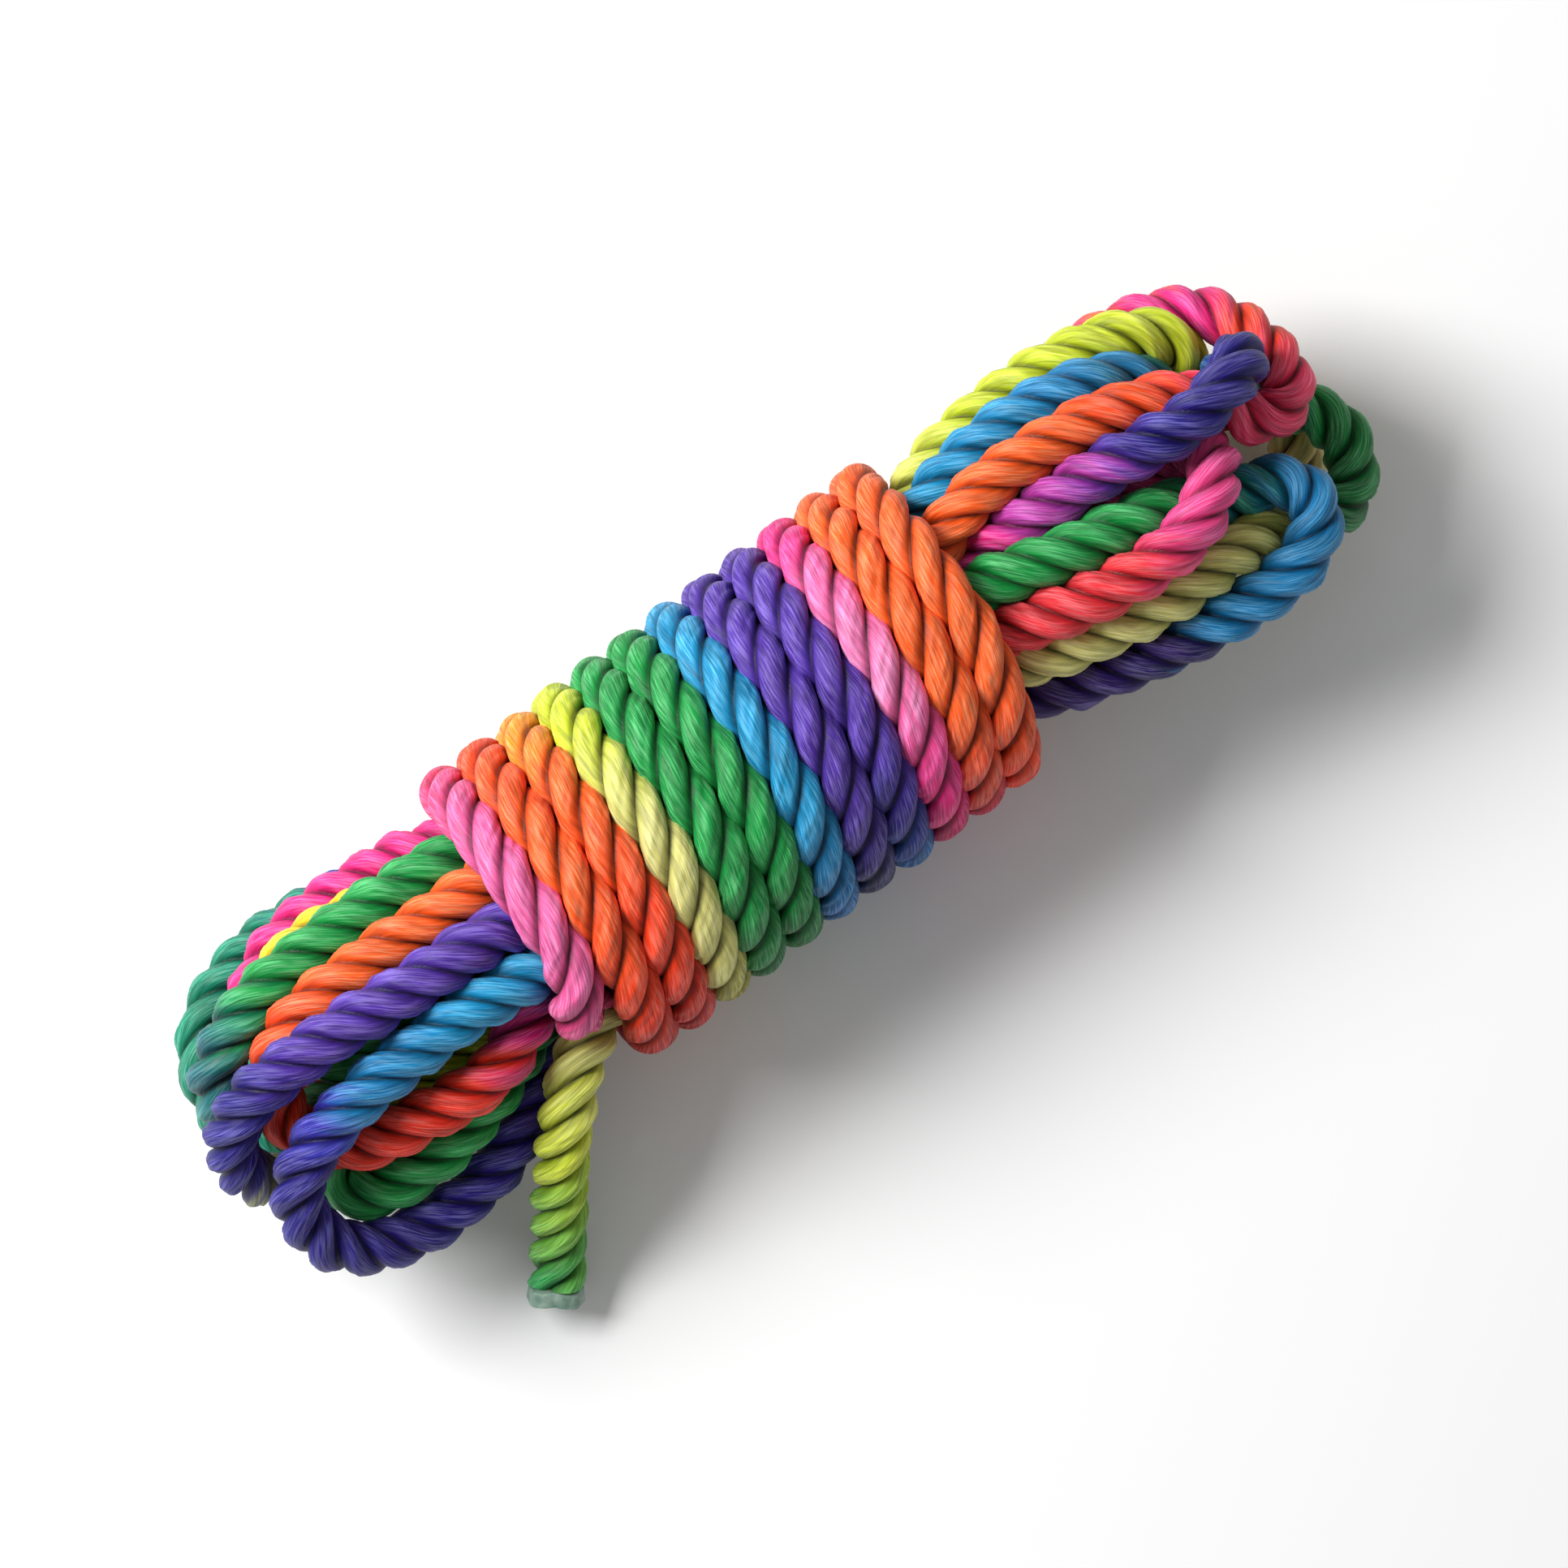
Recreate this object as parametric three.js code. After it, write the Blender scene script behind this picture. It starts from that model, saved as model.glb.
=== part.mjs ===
// A hank of soft three-strand rope, 10 mm thick: one rope laid to and fro in
// seventeen lengthwise passes, turned back in bights at both ends, and bound
// round the waist by its own running end. Millimetres, +Z up, +X along the hank.
// The hank lies on its underside; z in the routes below is counted from the
// axis of the binding.
import * as THREE from 'three';

// Driving dimensions
const tubeRadius = 4.5;        // rope solid, measured to its corners
const sectionSides = 8;
const clearance = 9.85;        // least distance between two centrelines
const sampleStep = 3;          // spacing of the points that are settled
const ringStep = 8;            // spacing of the rings along a tube
const waistLeft = -49;         // passes run straight between these two
const waistRight = 46;
const pieceGap = 0.3;          // gap where two stretches of the rope meet
const outerRing = 20.2;        // radius of the twelve outer places in the waist
const innerRing = 10.4;        // radius of the six inner places
const wrapRadius = 29.4;       // centreline of the binding turns
const wrapClearance = 10.6;    // least distance from a loose stretch to a turn's centreline
const wrapPitch = 8.78;
const wrapCount = 12;
const wrapHalfWidth = 4.2;     // the turns press each other a little flat
const wrapHalfHeight = 4.6;
const wrapSteps = 20;          // rings in one turn
const firstTurnX = -46.5;      // first turn where it crosses the far side
const settleRounds = 160;
const tipRadius = 5.6;
const tipLength = 3;
const nearLeanFirst = 4;       // how far turn 2 has leaned once it is down the near side
const nearLeanGrowth = 0.24;   // and how much more each turn after it

// Colours of the binding turns, first to last
const wrapColors = ['#ee3f96', '#f4522a', '#fb8a30', '#d5e03c', '#1fa055', '#1fa055', '#1e9ad0', '#5a3fa0',
  '#5a3fa0', '#ee5f9a', '#fb6a33', '#fb6a33'];

const seam = -Math.PI / 4;     // where one binding turn ends and the next starts
const flatOfSection = Math.cos(Math.PI / sectionSides);
const axisHeight = (wrapRadius + wrapHalfHeight * flatOfSection) * Math.cos(Math.PI / wrapSteps);
const lowestCentre = tubeRadius + 0.2 - axisHeight;
const seamDirection = new THREE.Vector3(0, -Math.sin(seam), Math.cos(seam));

// Places of the passes in the waist, as [y, z]
const ringPlace = (radius, degrees) => {
  const angle = THREE.MathUtils.degToRad(degrees);
  return [radius * Math.cos(angle), radius * Math.sin(angle)];
};
const outerPlace = (index) => ringPlace(outerRing, 30 * index);
const innerPlace = (index) => ringPlace(innerRing, 15 + 60 * index);

// Bights at the right end (+X): name, place it leaves, its route, place it returns to
const rightBights = [
  ['right_bight_lime', outerPlace(0), [
    [55.5, 27.5, 5], [66, 28.7, 6.5], [80, 28, 7], [94, 26, 8], [105, 23.5, 8], [111, 20.5, 7],
    [114.5, 16, 5], [115, 12.5, -1], [111, 11, -7], [103, 11, -12], [88, 10, -12], [68, 9, -10],
  ], innerPlace(5), '#d5e03c'],
  ['right_bight_blue', outerPlace(1), [
    [57, 21.5, 14], [69, 22.5, 15.5], [81, 22, 16], [91, 20.5, 16], [99, 18.5, 15],
    [105, 16, 12], [108, 13, 7], [107, 11, 1], [101, 11, -3], [90, 11, -2], [68, 11, 2],
  ], innerPlace(0), '#1e86c4'],
  ['right_bight_coral', outerPlace(2), [
    [56, 15.5, 21], [69, 15, 21.5], [81, 13.5, 21], [92, 11.5, 20], [101, 8, 18],
    [107, 4.5, 15], [110, 0, 11.5], [112.5, -5, 9], [117.5, -8.3, 8], [122.5, -6.5, 7],
    [125, -0.5, 6], [124, 7, 4], [123, 13, 1.5], [120, 18.5, -1], [114, 22.5, -3],
    [106, 25.5, -5], [95, 26.8, -6], [82, 26.8, -7], [68, 26, -8], [57, 23.5, -9],
  ], outerPlace(11), '#f4524a'],
  ['right_bight_violet', innerPlace(1), [
    [56, 8, 21], [66, 7, 23], [78, 5.5, 24], [88, 3.5, 25], [97, 1.5, 26], [106, 0, 26.5],
    [114.5, 0.5, 25.5], [120, 2, 21.8], [121.3, 3, 16], [118.5, 3, 9], [117.3, 1, 1.5],
    [120, -2, -5.5], [126, -5, -9.5], [131, -9, -11.5], [133.5, -15.5, -12], [131.5, -22, -12],
    [125.5, -26, -11], [118.5, -26, -8], [112.5, -23.5, -2], [108, -22, 5], [102, -21, 11],
    [95, -21, 14], [86, -21, 15.5], [76, -19.5, 16.5], [66, -17, 17], [56, -13.5, 16],
  ], innerPlace(2), '#7a4aa8'],
  ['right_bight_green', outerPlace(3), [
    [57, -1, 22], [68, -4, 24], [78, -6, 23.5], [87, -7.5, 22], [94, -8, 19], [99.5, -8.5, 14],
    [105, -10, 9], [111, -13, 7], [117, -15, 8], [119.5, -19.5, 9], [118, -26, 10],
    [111, -30, 10], [101, -31.5, 9], [90, -31, 8], [78, -29.5, 7], [67, -27, 5], [56, -23.5, 3],
  ], outerPlace(6), '#1fa055'],
  ['right_bight_rose', outerPlace(4), [
    [57, -10, 20], [65, -12, 21.5], [75, -14, 22.5], [84, -15, 23], [92, -15, 23],
    [101, -13, 22], [107.5, -9.5, 19], [110, -6, 13], [109, -4, 5], [105, -4.5, -3],
    [97, -5, -8], [85, -4, -10], [66, -3, -10.5],
  ], innerPlace(4), '#ee4f86'],
  ['right_bight_teal', outerPlace(7), [
    [58, -21, -10], [70, -23, -10], [85, -24, -9], [95, -22, -8], [101, -16, -7], [97, -11, -5],
    [88, -10, -4], [72, -10, -3],
  ], innerPlace(3), '#1f9d80'],
  ['right_bight_cream', outerPlace(8), [
    [58, -13, -20], [72, -15, -23], [90, -19, -25], [106, -21, -25], [120, -18, -24.5],
    [127, -10, -24], [125, 2, -24], [117, 11, -24.5], [104, 17, -25], [88, 16, -24],
    [72, 13, -21], [59, 11, -18],
  ], outerPlace(10), '#d8c27e'],
];

// Bights at the left end (-X)
const leftBights = [
  ['left_bight_blue', outerPlace(11), [
    [-58, 22.5, -9], [-65, 25, -12], [-73, 27, -14.5], [-84, 27.9, -15], [-94, 26.8, -15],
    [-102, 24, -14.5], [-108.5, 20, -14], [-113, 14.5, -14], [-115.5, 8, -16],
    [-115.5, 1, -19.5], [-111, -4, -23], [-101, -3, -26], [-86, 3, -27], [-68, 9, -24],
  ], outerPlace(10), '#2379b0'],
  ['left_bight_pink', outerPlace(0), [
    [-54, 24, 2], [-61, 25.5, -1.5], [-70, 26, -4], [-78, 26, -5], [-86, 25.7, -5.2],
    [-93, 24, -5.5], [-99, 20.5, -7], [-103, 16, -9], [-105, 11, -12], [-102, 6, -15.5],
    [-96, 2, -18], [-82, 0, -19.5], [-66, 0, -20],
  ], outerPlace(9), '#ee3f96'],
  ['left_bight_yellow', innerPlace(0), [
    [-55, 17, 5], [-67, 21.5, 5], [-79, 23, 4.5], [-89, 22.8, 3.5], [-96, 19, 1.5],
    [-99.5, 13, -1.5], [-97, 5, -5], [-86, -1, -8], [-68, -3, -10],
  ], innerPlace(4), '#e6cf3e'],
  ['left_bight_green', outerPlace(1), [
    [-54, 17.5, 15.5], [-62, 18, 14.5], [-73, 18.6, 13.5], [-83, 18.8, 13.2], [-92, 18.5, 13],
    [-102, 17, 12], [-109, 14.5, 9.5], [-114, 11.5, 6], [-116, 8, 0.5], [-113.5, 6, -6],
    [-106, 8, -9], [-92, 10, -9], [-70, 9, -8.5],
  ], innerPlace(5), '#1fa055'],
  ['left_bight_orange', outerPlace(2), [
    [-54, 11, 20.5], [-62, 11, 20], [-73, 11.2, 19.8], [-83, 11.4, 19.6], [-92, 11, 19],
    [-99, 9.5, 16.5], [-104, 6, 12.5], [-107, 1, 9], [-106, -5.5, 7], [-102, -11, 6],
    [-96, -15.5, 8], [-89, -17, 10], [-82, -18.5, 11], [-73, -20, 12], [-65, -18.5, 11.5],
    [-56, -13.5, 9],
  ], innerPlace(2), '#f4582c'],
  ['left_bight_indigo', outerPlace(3), [
    [-54, 3, 23], [-63, 2.8, 25.5], [-74, 3, 26.2], [-85, 3.5, 26.2], [-94, 4, 25.5],
    [-103, 4, 23], [-111, 3.5, 18.5], [-116.5, 1, 12.5], [-119.5, -3, 5], [-118.5, -8, -4],
    [-113, -12, -11], [-102, -14, -15], [-86, -13, -18], [-68, -11.5, -18],
  ], outerPlace(8), '#4a3296'],
  ['left_bight_emerald', innerPlace(1), [
    [-56, 0, 14], [-66, -2, 15.5], [-76, -2.5, 15.5], [-86, -2.5, 13.5], [-95, -3.5, 7.5],
    [-103, -7, 0], [-107.5, -13, -3], [-108.5, -18.5, -3.5], [-104, -23, -2.5],
    [-95, -24.8, -1], [-84, -24.5, 0], [-74, -22, 0], [-62, -17, -1],
  ], innerPlace(3), '#23914e'],
  ['left_bight_cyan', outerPlace(4), [
    [-54, -9, 20], [-60, -8.5, 21.5], [-67, -7.5, 22], [-76, -7.5, 21.5], [-85, -7.5, 21],
    [-94, -8.5, 20], [-102, -9.5, 18.5], [-109, -11.5, 15], [-113.5, -15, 11],
    [-115.5, -20.5, 6], [-114, -27, 1], [-109.5, -31, -3], [-102.5, -33.5, -6],
    [-93, -34.5, -8], [-84, -33.5, -9], [-75, -31, -9], [-68, -27.5, -9], [-58, -22.5, -9],
  ], outerPlace(7), '#2c7fc0'],
];

// The free end comes out at the near side, passes over a bight and down to the ground
const freeEndRoute = [
  [-49, -25, 1.5], [-55, -28, 3], [-59, -30.5, 3], [-64, -34.5, 0.5], [-68.5, -38.5, -4.5],
  [-72.5, -42.5, -11], [-76.5, -47, -17], [-80, -51, -22], [-82.8, -54.2, -25.2],
  [-84.8, -56.6, -26.4],
];
const tailEntry = 6;          // it leaves its straight pass this far inside the waist
// From the last pass the rope turns out at the right and joins the binding
const leadRoute = [[50, 0, -20.4], [56, 1, -21.8], [59.5, 6, -24.2], [57, 13.5, -25.4]];
// The first turn's end is tucked back under its neighbours
const tuckRoute = [[-51.5, -18, 19], [-53, -19.2, 13.2], [-49, -18.3, 10.4]];
const tuckEntry = 4;          // under the binding from here on, past the waist's edge
const tuckLength = 32;
const tuckAngle = 0.6 * Math.PI;
const leadStraight = 3;        // the lead runs straight for this far before the binding

// Binding turns: they lean towards -X as they come down the near side
const smoothStep = (value) => {
  const t = Math.min(1, Math.max(0, value));
  return t * t * (3 - 2 * t);
};

function wrapLean(angle, turn) {
  const nearLean = nearLeanFirst + nearLeanGrowth * (turn - 2);
  const half = Math.PI / 2;
  return nearLean * smoothStep((angle - half) / half)
    + (wrapPitch - nearLean) * smoothStep((angle - Math.PI) / Math.PI);
}

function wrapPoint(turn, angle) {
  const wound = angle < 0 ? wrapLean(angle + 2 * Math.PI, turn + 1) - wrapPitch : wrapLean(angle, turn);
  return new THREE.Vector3(
    firstTurnX + wrapPitch * (turn - 1) - wound,
    wrapRadius * Math.cos(angle),
    wrapRadius * Math.sin(angle),
  );
}

function wrapTangent(turn, angle) {
  const step = 0.01;
  return wrapPoint(turn, angle + step).sub(wrapPoint(turn, angle - step)).normalize();
}

function wrapTurn(turn, fromAngle, toAngle) {
  const steps = Math.round((toAngle - fromAngle) / (2 * Math.PI) * wrapSteps);
  const points = [];
  for (let i = 0; i <= steps; i += 1) {
    points.push(wrapPoint(turn, fromAngle + (toAngle - fromAngle) * i / steps));
  }
  return points;
}

const toVector = ([x, y, z]) => new THREE.Vector3(x, y, z);
const sideOf = (route) => Math.sign(route[0][0]);
const waistEdge = (side) => (side < 0 ? waistLeft : waistRight);

// A strand is a stretch of rope outside the waist, as points sampleStep apart
function strand(points, options = {}) {
  const { endFree = false, joint = null } = options;
  const curve = new THREE.CatmullRomCurve3(points, false, 'centripetal');
  const start = curve.getSpacedPoints(Math.round(curve.getLength() / sampleStep));
  return { start, points: start.map((p) => p.clone()), endFree, joint };
}

function bightStrand([, from, route, to]) {
  const edge = waistEdge(sideOf(route));
  const points = [[edge, ...from], ...route, [edge, ...to]].map(toVector);
  return strand(points);
}

// Soft rope makes room for itself: points closer than the clearance push each
// other apart, and the shift is spread smoothly along each strand.
function settle(strands, fixedPoints) {
  for (let round = 0; round < settleRounds; round += 1) {
    const items = strands.flatMap((owner) => owner.points.map((p, index) => ({ p, owner, index })));
    const shifts = items.map(() => new THREE.Vector3());
    pushStrandsApart(items, shifts);
    pushFromFixed(items, shifts, fixedPoints);
    items.forEach(({ p }, i) => p.add(shifts[i]));
    strands.forEach(spreadShift);
  }
}

const samePartLength = 2.4 * clearance;
const samePartOfRope = (a, b) => a.owner === b.owner
  && Math.abs(a.index - b.index) * sampleStep < samePartLength;

function pushStrandsApart(items, shifts) {
  const between = new THREE.Vector3();
  for (let i = 0; i < items.length; i += 1) {
    for (let j = i + 1; j < items.length; j += 1) {
      if (Math.abs(items[i].p.x - items[j].p.x) > clearance || samePartOfRope(items[i], items[j])) continue;
      between.subVectors(items[i].p, items[j].p);
      const distance = between.length();
      if (distance >= clearance) continue;
      between.multiplyScalar(0.5 * (clearance - distance) / distance);
      shifts[i].add(between);
      shifts[j].sub(between);
    }
  }
}

function pushFromFixed(items, shifts, fixedPoints) {
  const between = new THREE.Vector3();
  items.forEach(({ p, owner }, i) => {
    for (const fixed of fixedPoints) {
      if (Math.abs(p.x - fixed.x) > wrapClearance) continue;
      if (owner.joint && owner.joint.distanceTo(fixed) < samePartLength) continue;
      between.subVectors(p, fixed);
      const distance = between.length();
      if (distance >= wrapClearance) continue;
      shifts[i].addScaledVector(between, (wrapClearance - distance) / distance);
    }
  });
}

function spreadShift(s) {
  const last = s.points.length - 1;
  const moved = s.points.map((p, i) => p.clone().sub(s.start[i]));
  s.points.forEach((p, i) => {
    if (i === 0 || (i === last && !s.endFree)) {
      p.copy(s.start[i]);
    } else if (i < last) {
      const mean = moved[i - 1].clone().add(moved[i + 1]).multiplyScalar(0.5);
      p.copy(s.start[i]).add(moved[i].clone().lerp(mean, 0.5));
    }
    p.z = Math.max(p.z, lowestCentre);
  });
}

// Tubes: one ring at each point of the route, square to a given direction at an
// end that meets the binding
class RopeCurve extends THREE.CatmullRomCurve3 {
  constructor(points, startTangent, endTangent) {
    super(points, false, 'centripetal');
    this.startTangent = startTangent;
    this.endTangent = endTangent;
  }

  getUtoTmapping(u) {
    return u;
  }

  getTangent(t, target = new THREE.Vector3()) {
    if (t === 0 && this.startTangent) return target.copy(this.startTangent);
    if (t === 1 && this.endTangent) return target.copy(this.endTangent);
    return super.getTangent(t, target);
  }
}

// A binding turn keeps one side of its section facing outwards all the way round,
// and its rings stay in line with X, so that each facet underneath is flat
class TurnCurve extends RopeCurve {
  computeFrenetFrames(segments) {
    const frames = { tangents: [], normals: [], binormals: [] };
    const along = new THREE.Vector3(1, 0, 0);
    for (let i = 0; i <= segments; i += 1) {
      const outward = this.getPoint(i / segments).setX(0).normalize();
      frames.tangents.push(along.clone().cross(outward));
      frames.normals.push(along);
      frames.binormals.push(outward);
    }
    return frames;
  }
}

function section(halfWidth, halfHeight) {
  const shape = new THREE.Shape();
  for (let i = 0; i < sectionSides; i += 1) {
    const angle = 2 * Math.PI * (i + 0.5) / sectionSides;
    const x = halfWidth * Math.cos(angle);
    const y = halfHeight * Math.sin(angle);
    if (i === 0) shape.moveTo(x, y);
    else shape.lineTo(x, y);
  }
  shape.closePath();
  return shape;
}

function ropeMesh(name, color, points, options = {}) {
  const { halfWidth = tubeRadius, halfHeight = tubeRadius, Curve = RopeCurve } = options;
  const geometry = new THREE.ExtrudeGeometry(section(halfWidth, halfHeight), {
    steps: points.length - 1,
    extrudePath: new Curve(points, options.startTangent, options.endTangent),
  });
  const material = new THREE.MeshStandardMaterial({ color, roughness: 0.7, metalness: 0 });
  const mesh = new THREE.Mesh(geometry, material);
  mesh.name = name;
  return mesh;
}

// Keeps the first and last point and one about every ringStep between them
function thinned(points) {
  const skip = ringStep / sampleStep;
  const count = Math.max(2, Math.round((points.length - 1) / skip));
  const kept = [];
  for (let i = 0; i <= count; i += 1) {
    kept.push(points[Math.round(i * (points.length - 1) / count)]);
  }
  return kept;
}

function waistEnd(place, side) {
  return new THREE.Vector3(side * pieceGap / 2, ...place);
}

function bightMesh([name, from, route, to, color], settled) {
  const side = sideOf(route);
  return ropeMesh(name, color, [waistEnd(from, side), ...thinned(settled), waistEnd(to, side)]);
}

// Moves the last point back along the rope, to leave the gap to the next stretch
function shortened(points) {
  const out = points.map((p) => p.clone());
  const last = out[out.length - 1];
  const back = out[out.length - 2].clone().sub(last).setLength(pieceGap);
  last.add(back);
  return out;
}

function turnMesh(turn) {
  const last = 2 * Math.PI + seam;
  return ropeMesh(`wrap_turn_${String(turn).padStart(2, '0')}`, wrapColors[turn - 1],
    shortened(wrapTurn(turn, seam, last)), {
      halfWidth: wrapHalfWidth,
      halfHeight: wrapHalfHeight,
      Curve: TurnCurve,
    });
}

function bindingStrands() {
  const joint = wrapPoint(wrapCount, seam);
  const before = joint.clone().addScaledVector(wrapTangent(wrapCount, seam), -leadStraight);
  const leadStart = toVector([waistRight, ...outerPlace(9)]);
  const lead = strand([leadStart, ...leadRoute.map(toVector), before, joint], { joint });
  const tuckStart = wrapPoint(1, tuckAngle);
  const after = tuckStart.clone().addScaledVector(wrapTangent(1, tuckAngle), leadStraight);
  const tucked = toVector([waistLeft + tuckEntry, ...outerPlace(5)]);
  const tuck = strand([tuckStart, after, ...tuckRoute.map(toVector), tucked], { joint: tuckStart });
  return { lead, tuck };
}

function freeEndStrand() {
  const points = [toVector([waistLeft + tailEntry, ...outerPlace(6)]), ...freeEndRoute.map(toVector)];
  return strand(points, { endFree: true });
}

// Binding turns that the loose stretches have to clear
function fixedRope() {
  const points = [];
  for (const turn of [2, 3, 11, 12]) points.push(...wrapTurn(turn, seam, 2 * Math.PI + seam));
  points.push(...wrapTurn(1, seam, tuckAngle));
  const dense = [];
  for (let i = 1; i < points.length; i += 1) {
    if (points[i].distanceTo(points[i - 1]) > 2 * wrapPitch) continue;
    dense.push(points[i], points[i].clone().lerp(points[i - 1], 0.5));
  }
  return dense;
}

function sealedTip(points) {
  const end = points[points.length - 1];
  const direction = end.clone().sub(points[points.length - 2]).normalize();
  const from = end.clone().addScaledVector(direction, pieceGap);
  const to = from.clone().addScaledVector(direction, tipLength);
  return ropeMesh('sealed_tip', '#6f9a86', [from, to], { halfWidth: tipRadius, halfHeight: tipRadius });
}

function buildHank() {
  const hank = new THREE.Group();
  hank.position.z = axisHeight;
  const bights = [...rightBights, ...leftBights];
  const bightStrands = bights.map(bightStrand);
  const { lead, tuck } = bindingStrands();
  const freeEnd = freeEndStrand();
  settle([...bightStrands, lead, tuck, freeEnd], fixedRope());

  bights.forEach((bight, i) => hank.add(bightMesh(bight, bightStrands[i].points)));
  const leadPoints = shortened([waistEnd(outerPlace(9), 1), ...thinned(lead.points)]);
  hank.add(ropeMesh('wrap_lead', '#f0542c', leadPoints, { endTangent: seamDirection }));
  for (let turn = wrapCount; turn >= 2; turn -= 1) hank.add(turnMesh(turn));
  const tuckEnd = toVector([waistLeft + tuckLength, ...outerPlace(5)]);
  const over = wrapTurn(1, seam, tuckAngle).slice(0, -1);
  hank.add(ropeMesh('wrap_end', '#ee4f96', [...over, ...thinned(tuck.points), tuckEnd],
    { halfWidth: wrapHalfWidth, startTangent: seamDirection }));
  const tail = thinned(freeEnd.points);
  hank.add(ropeMesh('free_end', '#a9c63c', [waistEnd(outerPlace(6), -1), ...tail]));
  hank.add(sealedTip(tail));
  return hank;
}

export default buildHank();
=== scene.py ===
# A hank of soft three-strand rope, dyed in bright lengths of colour and bound by its own end.
# Metres, +Z up, +X along the hank. It lies on its underside.
import math

import bpy
import numpy as np
from mathutils import Matrix, Vector


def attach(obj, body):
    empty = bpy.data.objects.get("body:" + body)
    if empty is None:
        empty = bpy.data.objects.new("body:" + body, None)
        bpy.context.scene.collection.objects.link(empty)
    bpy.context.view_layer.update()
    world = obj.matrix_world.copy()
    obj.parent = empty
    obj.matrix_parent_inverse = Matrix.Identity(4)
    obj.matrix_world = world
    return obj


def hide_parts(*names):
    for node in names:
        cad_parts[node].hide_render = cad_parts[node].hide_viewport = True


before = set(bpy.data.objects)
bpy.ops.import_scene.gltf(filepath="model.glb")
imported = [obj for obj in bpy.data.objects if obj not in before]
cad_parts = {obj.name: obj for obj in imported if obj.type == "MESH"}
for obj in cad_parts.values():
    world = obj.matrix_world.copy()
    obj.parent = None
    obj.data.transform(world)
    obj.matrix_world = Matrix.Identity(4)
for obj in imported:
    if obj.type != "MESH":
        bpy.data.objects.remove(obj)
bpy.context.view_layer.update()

print("frame loaded:", len(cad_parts), "nodes")

rope = {
    "diameter": 0.010,
    "passLay": 0.0235,       # one full twist of the three strands, in the passes
    "bindingLay": 0.030,     # pulled longer where it is wound tight
    "tailLay": 0.0205,       # and shorter in the slack end
    "creaseDepth": 0.40,     # crease between two strands, as a share of the radius
    "bindingCrease": 0.34,   # shallower where the strands are pressed together
    "fullness": 2.5,         # how round a strand is before it drops into its crease
    "bulk": 1.09,            # the rope swells where nothing presses on it
    "tailBulk": 1.10,
    "pointsPerStrand": 16,
    "ringStep": 0.0008,
    "yarnGroove": 0.00020,   # depth of the groove between two yarns of a strand
    "yarnAt": 0.42,          # where it lies between the crest (0) and the crease (1)
    "yarnWidth": 0.13,
    "lumps": 0.00013,
}

hank = {
    "waistLeft": -0.049,     # the passes run straight between these two
    "waistRight": 0.046,
    "outerRing": 0.0202,     # radius of the twelve outer places in the waist
    "innerRing": 0.0104,     # radius of the six inner places
    "gap": 0.0003,           # where two stretches of the rope meet
    "clearance": 0.00985,    # least distance between two centrelines
    "sampleStep": 0.003,
    "rounds": 160,
}

binding = {
    "radius": 0.0294,        # centreline of the turns
    "clearance": 0.0106,
    "pitch": 0.00878,
    "count": 12,
    "halfHeight": 0.0046,
    "steps": 20,
    "firstX": -0.0465,       # first turn where it crosses the far side
    "nearLeanFirst": 0.004,
    "nearLeanGrowth": 0.00024,
    "leanStretch": 1.0016,   # a turn is this much longer than its circle
    "fade": 0.02,            # over which the rope changes from loose to pressed
    "pressedOver": 0.10,     # how far along the last turn the pressing lasts
    "spread": 1.03,          # the turns press into each other, with no gap between
}

seam = -math.pi / 4
tuckAngle = 0.6 * math.pi
flatOfSection = math.cos(math.pi / 8)
stepFlat = math.cos(math.pi / binding["steps"])
axisHeight = (binding["radius"] + binding["halfHeight"] * flatOfSection) * stepFlat
lowestCentre = 0.0047 - axisHeight
samePart = 2.4 * hank["clearance"]


def ringPlace(radius, degrees):
    angle = math.radians(degrees)
    return (radius * math.cos(angle), radius * math.sin(angle))


def outerPlace(index):
    return ringPlace(hank["outerRing"], 30 * index)


def innerPlace(index):
    return ringPlace(hank["innerRing"], 15 + 60 * index)

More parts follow.
